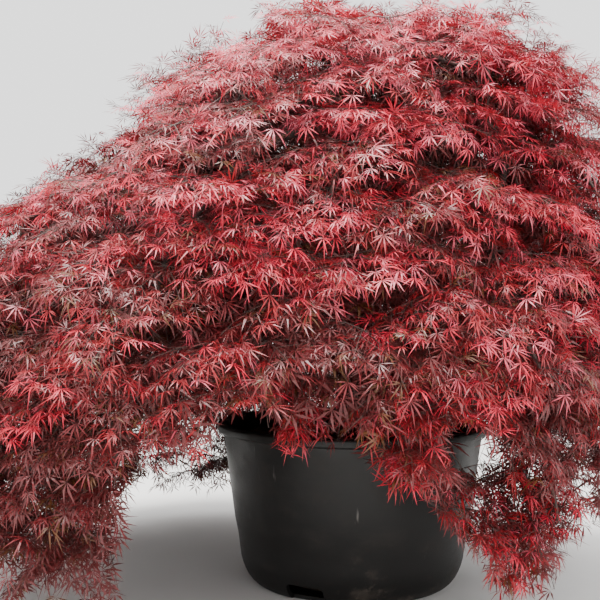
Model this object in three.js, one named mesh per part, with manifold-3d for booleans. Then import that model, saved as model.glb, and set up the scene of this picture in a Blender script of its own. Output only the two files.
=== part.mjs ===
// Weeping laceleaf maple in a round black nursery pot.
// Millimetres, +Z up. The origin is the centre of the pot's flat underside, on the ground.
// The crown's broad side hangs over -X. The side with the shorter skirt faces -Y.
// Each limb and each mass of foliage keeps JOIN_GAP to what carries it.

import * as THREE from 'three';
import { mergeVertices } from 'three/addons/utils/BufferGeometryUtils.js';
import Module from 'manifold-3d';

const JOIN_GAP = 0.3;

const POT = {
  height: 520,
  lipRadius: 450,
  lipHeight: 28,
  topRadius: 431,
  cornerHeight: 52,
  cornerRadius: 366,
  baseRadius: 326,
  wall: 9,
  floor: 10,
  notchCount: 3,
  notchStart: -117,
  notchWidth: 112,
  notchHeight: 58,
  notchInnerRadius: 322,
  sides: 40,
};

const SOIL_TOP = POT.height - 46;

const TRUNK = {
  tip: 1190,
  rootRadius: 63,
  tipRadius: 34,
  flare: 0.62,
  flareHeight: 70,
  roots: 5,
  lean: 26,
  sway: 20,
  sides: 12,
  steps: 10,
};

// Crown outline at eight compass points, anticlockwise from +X.
const CROWN = {
  top: 1915,
  hem: 720,
  reach: [1040, 1000, 1010, 1270, 1560, 1270, 930, 900],
  shoulder: [4.6, 3.2, 2.5, 2.0, 1.8, 2.0, 2.5, 3.6],
  tuck: 0.16,
  clearance: 30,
  samples: 40,
};

// Tiers of foliage from the top down. place is the share of the way down the crown's surface where a
// mass has its centre, and width is how far its twigs spread.
const TIERS = [
  { name: 'top', count: 3, place: 0.17, turn: 0.25, width: 460 },
  { name: 'upper', count: 6, place: 0.42, turn: 0.05, width: 640 },
  { name: 'middle', count: 6, place: 0.68, turn: 0.55, width: 940 },
  { name: 'skirt', count: 6, place: 0.94, turn: 0.15, width: 1000 },
  // Long sprays that hang nearly to the ground, by compass angle in degrees.
  { name: 'trail', angles: [214, 309, 45, 131], place: 1.2, width: 640 },
];

// How a mass lies in its tier: the bough comes in above and inside it, the stem ends below its centre.
const MASS = {
  entryAbove: 0.13,
  entryShare: 0.42,
  depth: 130,
  endBelow: 0.07,
  lean: 1,
  nodes: [0.3, 0.85],
};

const BOUGH = {
  main: { base: 27, tip: 11 },
  upper: { base: 16, tip: 10, from: 0.38, rise: 1.6 },
  skirt: { base: 14, tip: 10, from: 0.78, rise: 0.1 },
  trail: { base: 14, tip: 10, from: 0.56, rise: -0.5 },
  top: { base: 15, tip: 10, from: 0.98, rise: 0.9 },
  apart: 0.11,
  sides: 5,
  steps: 5,
  wobble: 0.03,
};

const TWIG = { stemTip: 7, base: 6, tip: 4, clear: 6, lengths: [1, 0.8, 0.6, 0.4], joint: 0.42 };

// Half of the five-lobed leaf's outline, from the middle lobe's tip to the end of the leaf's stalk:
// angle in degrees and reach as a share of the middle lobe's.
const LEAF = {
  length: 245,
  outline: [[0, 1], [22, 0.32], [46, 0.9], [73, 0.3], [102, 0.62], [164, 0.13], [180, 0.34]],
  thickness: 0.045,
  droop: 0.3,
  sizes: [1, 0.88, 0.76, 0.64],
  apart: 11,
  tipSunk: 14,
  sideSunk: 3,
  tilt: 0.5,
};

const SEED = 227;

const wasm = await Module();
wasm.setup();

const { Manifold, Mesh: SolidMesh } = wasm;
const UP = new THREE.Vector3(0, 0, 1);
const radians = THREE.MathUtils.degToRad;
const lerp = THREE.MathUtils.lerp;

// Repeatable random numbers from 0 to 1.
function randomSource(seed) {
  let state = seed >>> 0;
  return () => {
    state = (state + 0x6d2b79f5) >>> 0;
    let mixed = state;
    mixed = Math.imul(mixed ^ (mixed >>> 15), mixed | 1);
    mixed ^= mixed + Math.imul(mixed ^ (mixed >>> 7), mixed | 61);
    return ((mixed ^ (mixed >>> 14)) >>> 0) / 4294967296;
  };
}

// A closed geometry as a solid. Faces that shrink to a line on an axis are left out.
function solidOf(geometry) {
  const bare = geometry.clone();
  bare.deleteAttribute('normal');
  bare.deleteAttribute('uv');
  const merged = mergeVertices(bare, 1e-3);
  const index = merged.index.array;
  const triangles = [];
  for (let i = 0; i < index.length; i += 3) {
    const [a, b, c] = [index[i], index[i + 1], index[i + 2]];
    if (a !== b && b !== c && c !== a) triangles.push(a, b, c);
  }
  const vertProperties = new Float32Array(merged.attributes.position.array);
  const mesh = new SolidMesh({ numProp: 3, vertProperties, triVerts: new Uint32Array(triangles) });
  return new Manifold(mesh);
}

function geometryOf(solid) {
  const mesh = solid.getMesh();
  const geometry = new THREE.BufferGeometry();
  geometry.setAttribute('position', new THREE.BufferAttribute(mesh.vertProperties, 3));
  geometry.setIndex(new THREE.BufferAttribute(mesh.triVerts, 1));
  geometry.computeVertexNormals();
  return geometry;
}

function largestPart(solid) {
  const parts = solid.decompose();
  return parts.reduce((best, part) => (part.volume() > best.volume() ? part : best));
}

// A tube of changing radius along a curve, from a cylinder whose rings are moved onto the curve.
function tube(curve, radiusAt, sides, steps) {
  const geometry = new THREE.CylinderGeometry(1, 1, 1, sides, steps);
  const frames = curve.computeFrenetFrames(steps, false);
  const position = geometry.attributes.position;
  for (let i = 0; i < position.count; i += 1) {
    const step = Math.round((position.getY(i) + 0.5) * steps);
    const share = step / steps;
    const angle = Math.atan2(position.getX(i), position.getZ(i));
    const radius = radiusAt(share, angle);
    const point = curve.getPointAt(share);
    point.addScaledVector(frames.binormals[step], position.getX(i) * radius);
    point.addScaledVector(frames.normals[step], position.getZ(i) * radius);
    position.setXYZ(i, point.x, point.y, point.z);
  }
  return geometry;
}

// A value given at equal steps round the compass, read smoothly at any angle.
function aroundCompass(values, angle) {
  const turn = ((angle / (2 * Math.PI)) * values.length + values.length * 4) % values.length;
  const before = Math.floor(turn);
  const share = 0.5 - 0.5 * Math.cos((turn - before) * Math.PI);
  return lerp(values[before], values[(before + 1) % values.length], share);
}

// The crown's outline in one direction, as radius and height from the top down past the hem.
const outlines = new Map();
function crownOutline(angle) {
  const key = Math.round((angle / (2 * Math.PI)) * 720 + 720) % 720;
  if (outlines.has(key)) return outlines.get(key);
  const reach = aroundCompass(CROWN.reach, angle);
  const shoulder = aroundCompass(CROWN.shoulder, angle);
  const points = [];
  for (let i = 0; i <= CROWN.samples; i += 1) {
    const share = Math.sin((i / CROWN.samples) * Math.PI / 2);
    const height = CROWN.hem + (CROWN.top - CROWN.hem) * (1 - share ** shoulder);
    points.push(new THREE.Vector2(share * reach, height));
  }
  const lengths = [0];
  for (let i = 1; i < points.length; i += 1) {
    lengths.push(lengths[i - 1] + points[i].distanceTo(points[i - 1]));
  }
  const length = lengths.at(-1);
  points.push(new THREE.Vector2(reach - CROWN.tuck * CROWN.hem, 0));
  lengths.push(length + points.at(-1).distanceTo(points.at(-2)));
  const outline = { points, lengths, length };
  outlines.set(key, outline);
  return outline;
}

// Radius and height on the crown's surface. place runs from 0 at the top to 1 at the hem and on below.
function crownProfile(angle, place) {
  const { points, lengths, length } = crownOutline(angle);
  const wanted = Math.min(place * length, lengths.at(-1));
  const after = Math.max(1, lengths.findIndex((one) => one >= wanted));
  const share = (wanted - lengths[after - 1]) / (lengths[after] - lengths[after - 1]);
  return points[after - 1].clone().lerp(points[after], share);
}

// Where a point lies over the crown's surface: how far down it, and how far outside it.
function crownPlace(point) {
  const angle = Math.atan2(point.y, point.x);
  const { points, lengths, length } = crownOutline(angle);
  const here = new THREE.Vector2(Math.hypot(point.x, point.y), point.z);
  let best = { distance: Infinity };
  for (let i = 1; i < points.length; i += 1) {
    const along = points[i].clone().sub(points[i - 1]);
    const from = here.clone().sub(points[i - 1]);
    const share = THREE.MathUtils.clamp(from.dot(along) / along.lengthSq(), 0, 1);
    const distance = from.distanceTo(along.clone().multiplyScalar(share));
    if (distance < best.distance) {
      const outside = Math.sign(along.cross(from));
      best = { distance, outside, travelled: lerp(lengths[i - 1], lengths[i], share) };
    }
  }
  return { angle, place: best.travelled / length, above: best.distance * best.outside, length };
}

function crownPoint(angle, place) {
  const { x: radius, y: height } = crownProfile(angle, place);
  return new THREE.Vector3(radius * Math.cos(angle), radius * Math.sin(angle), height);
}

// The way down the crown's surface, the way along it and the way out of it.
function crownFrame(angle, place) {
  const step = 0.01;
  const down = crownPoint(angle, place + step).sub(crownPoint(angle, place - step)).normalize();
  const along = new THREE.Vector3(-Math.sin(angle), Math.cos(angle), 0);
  const out = new THREE.Vector3().crossVectors(along, down).negate().normalize();
  if (out.dot(new THREE.Vector3(Math.cos(angle), Math.sin(angle), 1)) < 0) out.negate();
  return { down, along, out };
}

// Angles that stand the same distance apart round the crown at one level.
function evenAngles(count, place, turn) {
  const samples = 144;
  const travelled = [0];
  for (let i = 1; i <= samples; i += 1) {
    const here = crownPoint((i / samples) * 2 * Math.PI, place);
    const last = crownPoint(((i - 1) / samples) * 2 * Math.PI, place);
    travelled.push(travelled[i - 1] + here.distanceTo(last));
  }
  return Array.from({ length: count }, (_, i) => {
    const wanted = ((i + turn) / count) * travelled[samples];
    return (travelled.findIndex((length) => length >= wanted) / samples) * 2 * Math.PI;
  });
}

// Where each mass lies: its centre, where its bough comes in, and the far end of its stem.
function massPlan(tier, name, angle) {
  const centre = crownPoint(angle, tier.place);
  const { down, along, out } = crownFrame(angle, tier.place);
  const above = tier.place - Math.min(MASS.entryAbove, MASS.entryShare * tier.place);
  const entry = crownPoint(angle, above).addScaledVector(crownFrame(angle, above).out, -MASS.depth);
  const end = crownPoint(angle, tier.place + MASS.endBelow);
  return { tier, name, angle, centre, down, along, out, entry, end };
}

const plans = [];
for (const tier of TIERS) {
  const angles = tier.angles?.map(radians) ?? evenAngles(tier.count, tier.place, tier.turn);
  angles.forEach((angle, i) => plans.push(massPlan(tier, `${tier.name}_${i + 1}`, angle)));
}

function buildPot() {
  const slope = (POT.topRadius - POT.cornerRadius) / (POT.height - POT.lipHeight - POT.cornerHeight);
  const wallAt = (height) => POT.cornerRadius + slope * (height - POT.cornerHeight);
  const outside = [new THREE.Vector2(0, 0)];
  const cornerSteps = 4;
  for (let i = 0; i <= cornerSteps; i += 1) {
    const turn = (i / cornerSteps) * Math.PI / 2;
    const radius = POT.baseRadius + (POT.cornerRadius - POT.baseRadius) * Math.sin(turn);
    outside.push(new THREE.Vector2(radius, POT.cornerHeight * (1 - Math.cos(turn))));
  }
  const lipFoot = POT.height - POT.lipHeight;
  outside.push(new THREE.Vector2(POT.topRadius, lipFoot));
  outside.push(new THREE.Vector2(POT.lipRadius - 4, lipFoot));
  outside.push(new THREE.Vector2(POT.lipRadius, lipFoot + 7));
  outside.push(new THREE.Vector2(POT.lipRadius, POT.height - 8));
  outside.push(new THREE.Vector2(POT.lipRadius - 8, POT.height));
  const inside = [
    new THREE.Vector2(wallAt(POT.height) - POT.wall, POT.height),
    new THREE.Vector2(wallAt(POT.cornerHeight) - POT.wall, POT.cornerHeight),
    new THREE.Vector2(POT.baseRadius - POT.wall / 2, POT.floor),
    new THREE.Vector2(0, POT.floor),
  ];
  const shell = new THREE.LatheGeometry([...outside, ...inside], POT.sides);
  shell.rotateX(Math.PI / 2);
  let solid = solidOf(shell);
  for (let i = 0; i < POT.notchCount; i += 1) {
    const reach = POT.lipRadius - POT.notchInnerRadius;
    const cutter = new THREE.BoxGeometry(reach, POT.notchWidth, 2 * POT.notchHeight);
    cutter.translate(POT.notchInnerRadius + reach / 2, 0, 0);
    cutter.rotateZ(radians(POT.notchStart) + (i / POT.notchCount) * 2 * Math.PI);
    solid = solid.subtract(solidOf(cutter));
  }
  return { solid, inside };
}

// The potting mix fills the pot to below the lip, flat where the trunk stands.
function buildSoil(inside) {
  const [rim, corner, foot] = inside;
  const shoulder = SOIL_TOP - 14;
  const edge = corner.clone().lerp(rim, (shoulder - corner.y) / (rim.y - corner.y));
  const profile = [
    new THREE.Vector2(0, foot.y + JOIN_GAP),
    new THREE.Vector2(foot.x - JOIN_GAP, foot.y + JOIN_GAP),
    new THREE.Vector2(corner.x - JOIN_GAP, corner.y),
    new THREE.Vector2(edge.x - JOIN_GAP, shoulder),
    new THREE.Vector2(0.55 * edge.x, SOIL_TOP),
    new THREE.Vector2(0, SOIL_TOP),
  ];
  const geometry = new THREE.LatheGeometry(profile, POT.sides);
  geometry.rotateX(Math.PI / 2);
  return solidOf(geometry);
}

// The trunk's line from the soil to its tip, sinuous and leaning a little to the broad side.
function trunkPoint(share) {
  const bend = Math.sin(share * 2 * Math.PI * 0.85);
  const x = -TRUNK.lean * share + TRUNK.sway * bend;
  const y = 0.7 * TRUNK.sway * Math.sin(share * 2 * Math.PI * 1.15) * share;
  return new THREE.Vector3(x, y, lerp(SOIL_TOP + JOIN_GAP, TRUNK.tip, share));
}

const trunkCurve = new THREE.CatmullRomCurve3(
  Array.from({ length: 9 }, (_, i) => trunkPoint(i / 8)),
);

function trunkRadius(share, angle) {
  const height = share * (TRUNK.tip - SOIL_TOP);
  const flare = TRUNK.flare * Math.exp(-height / TRUNK.flareHeight);
  const ridges = 0.65 + 0.35 * Math.cos(TRUNK.roots * angle);
  return lerp(TRUNK.rootRadius, TRUNK.tipRadius, share) * (1 + flare * ridges);
}

function buildTrunk(grow = 0) {
  const radius = (share, angle) => trunkRadius(share, angle) + grow;
  const geometry = tube(trunkCurve, radius, TRUNK.sides, TRUNK.steps);
  const position = geometry.attributes.position;
  const base = SOIL_TOP + JOIN_GAP;
  const ringSize = (TRUNK.tip - base) / TRUNK.steps;
  for (let i = 0; i < position.count; i += 1) {
    if (position.getZ(i) < base + ringSize / 2) position.setZ(i, base);
  }
  return solidOf(geometry);
}

// A limb's line: out along one direction, in along another, with small crooks on the way.
function limbCurve(start, startWay, end, endWay, random) {
  const reach = start.distanceTo(end);
  const smooth = new THREE.CubicBezierCurve3(
    start,
    start.clone().addScaledVector(startWay, 0.4 * reach),
    end.clone().addScaledVector(endWay, -0.35 * reach),
    end,
  );
  const crooks = 6;
  const points = [];
  for (let i = 0; i <= crooks; i += 1) {
    const point = smooth.getPointAt(i / crooks);
    const inner = i > 1 && i < crooks - 1 ? BOUGH.wobble * reach : 0;
    point.x += (random() - 0.5) * inner;
    point.y += (random() - 0.5) * inner;
    point.z += (random() - 0.5) * inner;
    points.push(point);
  }
  return new THREE.CatmullRomCurve3(points);
}

// A limb, cut back to JOIN_GAP from the trunk and from every limb made before it.
function makeLimb(name, curve, size, earlier) {
  const radiusAt = (share) => lerp(size.base, size.tip, share ** 0.8);
  const build = (grow) => solidOf(tube(curve, (share) => radiusAt(share) + grow, BOUGH.sides, BOUGH.steps));
  const solid = largestPart(build(0).subtract(Manifold.union(earlier.map((limb) => limb.grown))));
  const line = curve.getSpacedPoints(2 * BOUGH.steps);
  return { name, curve, radiusAt, solid, grown: build(JOIN_GAP), line };
}

const trunk = { curve: trunkCurve, solid: buildTrunk(), grown: buildTrunk(JOIN_GAP) };
trunk.radiusAt = (share) => trunkRadius(share, 0);
trunk.line = trunkCurve.getSpacedPoints(2 * TRUNK.steps);

function outward(angle, rise) {
  const way = new THREE.Vector3(Math.cos(angle), Math.sin(angle), rise);
  return way.normalize();
}

// Main boughs leave the trunk one above another and run out to the middle tier.
// From them rise the upper boughs, and the skirt and trailing boughs turn down.
function buildLimbs(random) {
  const limbs = [];
  const ofTier = (name) => plans.filter((plan) => plan.name.startsWith(name));
  const angleGap = (a, b) => Math.abs(Math.atan2(Math.sin(a - b), Math.cos(a - b)));
  const middles = ofTier('middle');
  const order = [0, 3, 6, 2, 5, 1, 4];
  const mains = middles.map((plan, i) => {
    const share = 0.5 + 0.36 * (order[i] / (middles.length - 1));
    const start = trunkCurve.getPointAt(share);
    const curve = limbCurve(start, outward(plan.angle, 0.75), plan.entry, plan.down, random);
    const limb = makeLimb(`bough_${plan.name}`, curve, BOUGH.main, [trunk, ...limbs]);
    limb.angle = plan.angle;
    plan.limb = limb;
    limbs.push(limb);
    return limb;
  });
  const nearest = (angle) => mains.reduce(
    (best, limb) => (angleGap(limb.angle, angle) < angleGap(best.angle, angle) ? limb : best),
  );
  const grow = (plan, size, parent, from) => {
    const start = parent.curve.getPointAt(from);
    const curve = limbCurve(start, outward(plan.angle, size.rise), plan.entry, plan.down, random);
    plan.limb = makeLimb(`bough_${plan.name}`, curve, size, [trunk, ...limbs]);
    limbs.push(plan.limb);
  };
  for (const kind of ['upper', 'skirt', 'trail']) {
    const taken = new Map();
    for (const plan of ofTier(kind)) {
      const parent = nearest(plan.angle);
      const before = taken.get(parent) ?? 0;
      taken.set(parent, before + 1);
      grow(plan, BOUGH[kind], parent, BOUGH[kind].from - before * BOUGH.apart);
    }
  }
  ofTier('top').forEach((plan, i) => grow(plan, BOUGH.top, trunk, BOUGH.top.from - i * BOUGH.apart));
  return limbs;
}

function leafGeometry() {
  const half = LEAF.thickness / 2;
  const rim = LEAF.outline.length * 2 - 2;
  const profile = [new THREE.Vector2(0, -half), new THREE.Vector2(1, 0), new THREE.Vector2(0, half)];
  const geometry = new THREE.LatheGeometry(profile, rim);
  const position = geometry.attributes.position;
  for (let i = 0; i < position.count; i += 1) {
    const angle = Math.atan2(position.getX(i), position.getZ(i));
    if (Math.hypot(position.getX(i), position.getZ(i)) < 0.5) continue;
    const turn = Math.round((Math.abs(angle) / (2 * Math.PI)) * rim);
    const [degrees, reach] = LEAF.outline[turn];
    const way = Math.sign(angle) * radians(degrees);
    const drop = degrees < 180 ? -LEAF.droop * reach ** 2 : 0;
    position.setXYZ(i, reach * Math.sin(way), drop, reach * Math.cos(way));
  }
  return geometry;
}

const leafShape = leafGeometry();

// True where a ball of the given size stays in the mass's own space, over the ground and off the pot.
// A space ends halfway to the next mass. It leans out as it goes down, so tiers overlap like shingles.
function inOwnSpace(point, plan, clear) {
  const fromAxis = Math.hypot(point.x, point.y);
  if (point.z < CROWN.clearance || (fromAxis < POT.lipRadius + clear && point.z < POT.height + clear)) {
    return false;
  }
  const { angle, place, above, length } = crownPlace(point);
  const level = crownPoint(angle, Math.max(0, place - (MASS.lean * above) / length));
  const own = level.distanceTo(plan.centre);
  for (const other of plans) {
    if (other === plan) continue;
    const between = other.centre.distanceTo(plan.centre);
    if (between > 2 * own + 2 * clear) continue;
    const beyond = (own ** 2 - level.distanceTo(other.centre) ** 2) / (2 * between);
    if (beyond > -clear) return false;
  }
  return true;
}

function offLimbs(point, limbs, clear) {
  const span = new THREE.Line3();
  const closest = new THREE.Vector3();
  for (const limb of limbs) {
    const last = limb.line.length - 1;
    for (let i = 0; i < last; i += 1) {
      span.set(limb.line[i], limb.line[i + 1]);
      span.closestPointToPoint(point, true, closest);
      if (closest.distanceTo(point) < limb.radiusAt(i / last) + clear) return false;
    }
  }
  return true;
}

// Points along a leaf's lobes and stalk, close enough together to find what it would touch.
function leafProbes(matrix) {
  const probes = [];
  LEAF.outline.forEach(([degrees, reach]) => {
    for (const side of [-1, 1]) {
      const angle = side * radians(degrees);
      for (let share = 0.2; share < 1.01; share += 0.2) {
        const drop = degrees < 180 ? -LEAF.droop * reach * reach * share : 0;
        const flat = reach * share;
        const probe = new THREE.Vector3(flat * Math.sin(angle), drop, flat * Math.cos(angle));
        probes.push(probe.applyMatrix4(matrix));
      }
    }
  });
  return probes;
}

// One mass: a stem, pairs of twigs along it, and leaves at their tips and along them.
function buildMass(plan, limbs, random) {
  const { tier, down, along, out } = plan;
  const free = (point, clear) => inOwnSpace(point, plan, clear) && offLimbs(point, limbs, clear);
  const solids = [];
  const taken = [];

  const addTube = (curve, base, tip, sides, steps) => {
    solids.push(solidOf(tube(curve, (share) => lerp(base, tip, share), sides, steps)));
    taken.push(...curve.getSpacedPoints(24));
  };

  // A leaf whose stalk starts at root and is sunk into the twig there. Null where it finds no room.
  const leafAt = (root, way, sunk) => {
    const share = random();
    const forward = way.clone().normalize();
    const normal = out.clone().addScaledVector(along, LEAF.tilt * (share - 0.5));
    const side = new THREE.Vector3().crossVectors(normal, forward).normalize();
    const flat = new THREE.Vector3().crossVectors(forward, side).normalize();
    for (const smaller of LEAF.sizes) {
      const size = LEAF.length * lerp(0.9, 1.1, share) * smaller;
      const stalk = size * LEAF.outline.at(-1)[1];
      const centre = root.clone().addScaledVector(forward, stalk - sunk);
      const matrix = new THREE.Matrix4().makeBasis(side, flat, forward).setPosition(centre);
      matrix.scale(new THREE.Vector3(size, size, size));
      const probes = leafProbes(matrix);
      const clearOfOthers = (probe) => probe.distanceTo(root) < 0.8 * stalk
        || taken.every((other) => other.distanceTo(probe) > LEAF.apart);
      if (probes.every((probe) => clearOfOthers(probe) && free(probe, TWIG.clear))) {
        taken.push(...probes);
        return solidOf(leafShape.clone().applyMatrix4(matrix));
      }
    }
    return null;
  };

  // A twig that leaves start along way and then droops. It is tried shorter until its leaf has room.
  const addTwig = (start, way, full, lift) => {
    const droop = way.clone().multiplyScalar(0.5).addScaledVector(down, 0.85).addScaledVector(out, 0.1);
    droop.normalize();
    for (const shorter of TWIG.lengths) {
      const length = full * shorter;
      const bend = start.clone().addScaledVector(way, 0.7 * length).addScaledVector(out, lift);
      const tip = bend.clone().addScaledVector(droop, 0.3 * length);
      const twig = new THREE.QuadraticBezierCurve3(start, bend, tip);
      if (![0.3, 0.65, 1].every((at) => free(twig.getPointAt(at), TWIG.clear + TWIG.base))) continue;
      const leaf = leafAt(tip, tip.clone().sub(twig.getPointAt(0.5)), LEAF.tipSunk);
      if (!leaf) continue;
      addTube(twig, TWIG.base, TWIG.tip, 3, 2);
      solids.push(leaf);
      return twig;
    }
    return null;
  };

  const endWay = plan.limb.curve.getTangentAt(1);
  const foot = plan.entry.clone().addScaledVector(endWay, JOIN_GAP);
  const reach = foot.distanceTo(plan.end);
  const stem = new THREE.CubicBezierCurve3(
    foot,
    foot.clone().addScaledVector(endWay, 0.3 * reach),
    plan.end.clone().addScaledVector(down, -0.35 * reach),
    plan.end,
  );
  addTube(stem, plan.limb.radiusAt(1), TWIG.stemTip, 4, 4);
  const addLeaf = (leaf) => {
    if (leaf) solids.push(leaf);
  };
  addLeaf(leafAt(plan.end, plan.end.clone().sub(stem.getPointAt(0.75)), LEAF.tipSunk));

  const twigs = [];
  for (const node of MASS.nodes) {
    for (const side of [-1, 1]) {
      const start = stem.getPointAt(node + 0.08 * (random() - 0.5));
      const way = along.clone().multiplyScalar(side).addScaledVector(down, 0.3 * node).normalize();
      const full = 0.36 * tier.width * lerp(0.9, 1.1, random());
      const twig = addTwig(start, way, full, 50 * random());
      if (twig) twigs.push({ twig, way });
    }
  }
  for (const { twig, way } of twigs) {
    const root = twig.getPointAt(TWIG.joint);
    const side = way.clone().multiplyScalar(0.15);
    addLeaf(leafAt(root, side.clone().add(down).addScaledVector(out, 0.25), LEAF.sideSunk));
    addLeaf(leafAt(root, side.clone().sub(down).addScaledVector(out, 0.25), LEAF.sideSunk));
  }
  return largestPart(Manifold.union(solids)).simplify(0.02);
}

const FINISH = {
  pot: new THREE.MeshStandardMaterial({ color: 0x1d1b1a, roughness: 0.5, metalness: 0 }),
  soil: new THREE.MeshStandardMaterial({ color: 0x3a2a1c, roughness: 0.95, metalness: 0 }),
  bark: new THREE.MeshStandardMaterial({ color: 0x5b4a3f, roughness: 0.9, metalness: 0 }),
  leaves: new THREE.MeshStandardMaterial({ color: 0x8e2a35, roughness: 0.5, metalness: 0 }),
};

const maple = new THREE.Group();

function addNode(name, solid, finish) {
  const mesh = new THREE.Mesh(geometryOf(solid), finish);
  mesh.name = name;
  maple.add(mesh);
}

const random = randomSource(SEED);
const pot = buildPot();
addNode('pot', pot.solid, FINISH.pot);
addNode('soil', buildSoil(pot.inside), FINISH.soil);
addNode('trunk', trunk.solid, FINISH.bark);
const limbs = buildLimbs(random);
for (const limb of limbs) addNode(limb.name, limb.solid, FINISH.bark);
for (const plan of plans) {
  addNode(`foliage_${plan.name}`, buildMass(plan, [trunk, ...limbs], random), FINISH.leaves);
}

export default maple;
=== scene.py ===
"""Weeping laceleaf maple in a black nursery pot. Metres, +Z up, origin under the middle of the pot."""

import math

import bmesh
import bpy
import numpy as np
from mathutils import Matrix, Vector, noise


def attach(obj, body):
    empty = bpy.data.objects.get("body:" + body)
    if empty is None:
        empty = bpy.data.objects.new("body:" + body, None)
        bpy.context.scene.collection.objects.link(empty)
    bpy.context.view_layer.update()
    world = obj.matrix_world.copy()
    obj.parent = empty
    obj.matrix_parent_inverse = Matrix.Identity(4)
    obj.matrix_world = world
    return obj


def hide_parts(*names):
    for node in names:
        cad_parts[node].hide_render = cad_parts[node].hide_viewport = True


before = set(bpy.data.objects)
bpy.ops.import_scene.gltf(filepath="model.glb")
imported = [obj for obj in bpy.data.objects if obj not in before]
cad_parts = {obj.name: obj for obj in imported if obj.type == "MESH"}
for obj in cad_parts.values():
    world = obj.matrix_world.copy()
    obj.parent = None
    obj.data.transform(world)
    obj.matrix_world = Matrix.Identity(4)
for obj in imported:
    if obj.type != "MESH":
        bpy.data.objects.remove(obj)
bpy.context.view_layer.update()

# NURSERY POT. One moulded shell of black plastic with a heavy rolled lip, a
# softly rounded foot and three drain openings cut through the foot's edge.
POT_HEIGHT = 0.520
POT_LIP = 0.450
POT_TOP = 0.431
POT_FOOT = 0.317
POT_CORNER = (0.366, 0.052)
POT_WALL = 0.009
POT_WAVE = 0.0012
POT_SEGMENTS = 160
LIP_BAND = 0.028
DRAIN_COUNT = 3
DRAIN_SIZE = (0.128, 0.124, 0.112)
DRAIN_START = math.radians(-117)
DRAIN_INSIDE = 0.303
DRAIN_ROUNDING = 0.014
CREASE_ANGLE = math.radians(38)


class Field:
    """A value that changes over a surface. Sums and products of fields add their own nodes."""

    def __init__(self, finish, socket):
        self.finish = finish
        self.socket = socket

    def maths(self, operation, *values):
        return self.finish.node("ShaderNodeMath", {"operation": operation}, list(values))

    def __add__(self, other):
        return self.maths("ADD", self, other)

    def __rsub__(self, other):
        return self.maths("SUBTRACT", other, self)

    def __mul__(self, other):
        return self.maths("MULTIPLY", self, other)

    __radd__ = __add__
    __rmul__ = __mul__

    def between(self, low, high):
        """0 below low, 1 above high and smooth from one to the other."""
        values = {"Value": self, "From Min": low, "From Max": high}
        return self.finish.node("ShaderNodeMapRange", {"interpolation_type": "SMOOTHSTEP"}, values)


class Finish:
    """A material with one Principled surface, whose nodes are added by name."""

    def __init__(self, name):
        self.material = bpy.data.materials.new(name)
        self.material.use_nodes = True
        self.tree = self.material.node_tree
        self.surface = self.tree.nodes["Principled BSDF"]
        self.place = None

    def node(self, kind, settings={}, inputs={}, output=0):
        made = self.tree.nodes.new(kind)
        for key, value in settings.items():
            setattr(made, key, value)
        for key, value in enumerate(inputs) if isinstance(inputs, list) else inputs.items():
            self.feed(made.inputs[key], value)
        return Field(self, made.outputs[output])

    def feed(self, socket, value):
        if isinstance(value, Field):
            self.tree.links.new(value.socket, socket)
        elif socket.type == "RGBA":
            socket.default_value = (*value, 1)
        else:
            socket.default_value = value

    def set(self, **values):
        for key, value in values.items():
            self.feed(self.surface.inputs[key.replace("_", " ")], value)

    def coordinates(self, scale=(1, 1, 1)):
        if self.place is None:
            self.place = self.node("ShaderNodeTexCoord", output=3)
        return self.node("ShaderNodeMapping", {}, {"Vector": self.place, "Scale": scale})

    def grain(self, scale, detail=4.0, stretch=(1, 1, 1), rough=0.55):
        values = {"Vector": self.coordinates(stretch), "Scale": scale, "Detail": detail, "Roughness": rough}
        return self.node("ShaderNodeTexNoise", {}, values)

    def blend(self, share, low, high):
        return self.node("ShaderNodeMix", {"data_type": "RGBA"}, {0: share, 6: low, 7: high}, 2)

    def ramp(self, share, stops):
        """A colour that runs through the stops, each a share and its colour."""
        colour_at = self.node("ShaderNodeValToRGB", {}, {"Fac": share})
        elements = colour_at.socket.node.color_ramp.elements
        while len(elements) < len(stops):
            elements.new(0.5)
        for element, (position, colour) in zip(elements, stops):
            element.position = position
            element.color = (*colour, 1)
        return colour_at

    def relief(self, height, depth, strength=1.0):
        values = {"Height": height, "Distance": depth, "Strength": strength}
        return self.node("ShaderNodeBump", {}, values)


def new_object(name, mesh, material=None):
    thing = bpy.data.objects.new(name, mesh)
    bpy.context.scene.collection.objects.link(thing)
    if material:
        mesh.materials.clear()
        mesh.materials.append(material)
    return thing


def mesh_from(name, points, faces, smooth=True):
    mesh = bpy.data.meshes.new(name)
    mesh.from_pydata([tuple(p) for p in points], [], faces)
    mesh.polygons.foreach_set("use_smooth", [smooth] * len(mesh.polygons))
    mesh.update()
    return mesh


def baked(thing, modifier):
    """The object with the modifier's result as its plain mesh, and nothing left to evaluate."""
    mesh = bpy.data.meshes.new_from_object(thing.evaluated_get(bpy.context.evaluated_depsgraph_get()))
    thing.modifiers.remove(modifier)
    thing.data = mesh
    return thing


def arc(centre, radius, start, end, steps):
    """Points on an arc in the (radius, height) plane, angles in degrees from straight out."""
    angles = np.radians(np.linspace(start, end, steps))
    return [(centre[0] + radius * math.cos(a), centre[1] + radius * math.sin(a)) for a in angles]


def shell_faces(rings, segments):
    """Faces of a closed shape that has its first pole's point, rings of points and its last pole's point."""
    faces = []
    top = 1 + (rings - 1) * segments
    for k in range(segments):
        after = (k + 1) % segments
        faces.append((0, 1 + after, 1 + k))
        for here in range(1, top, segments):
            faces.append((here + k, here + after, here + segments + after, here + segments + k))
        faces.append((top + k, top + after, top + segments))
    return faces


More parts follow.
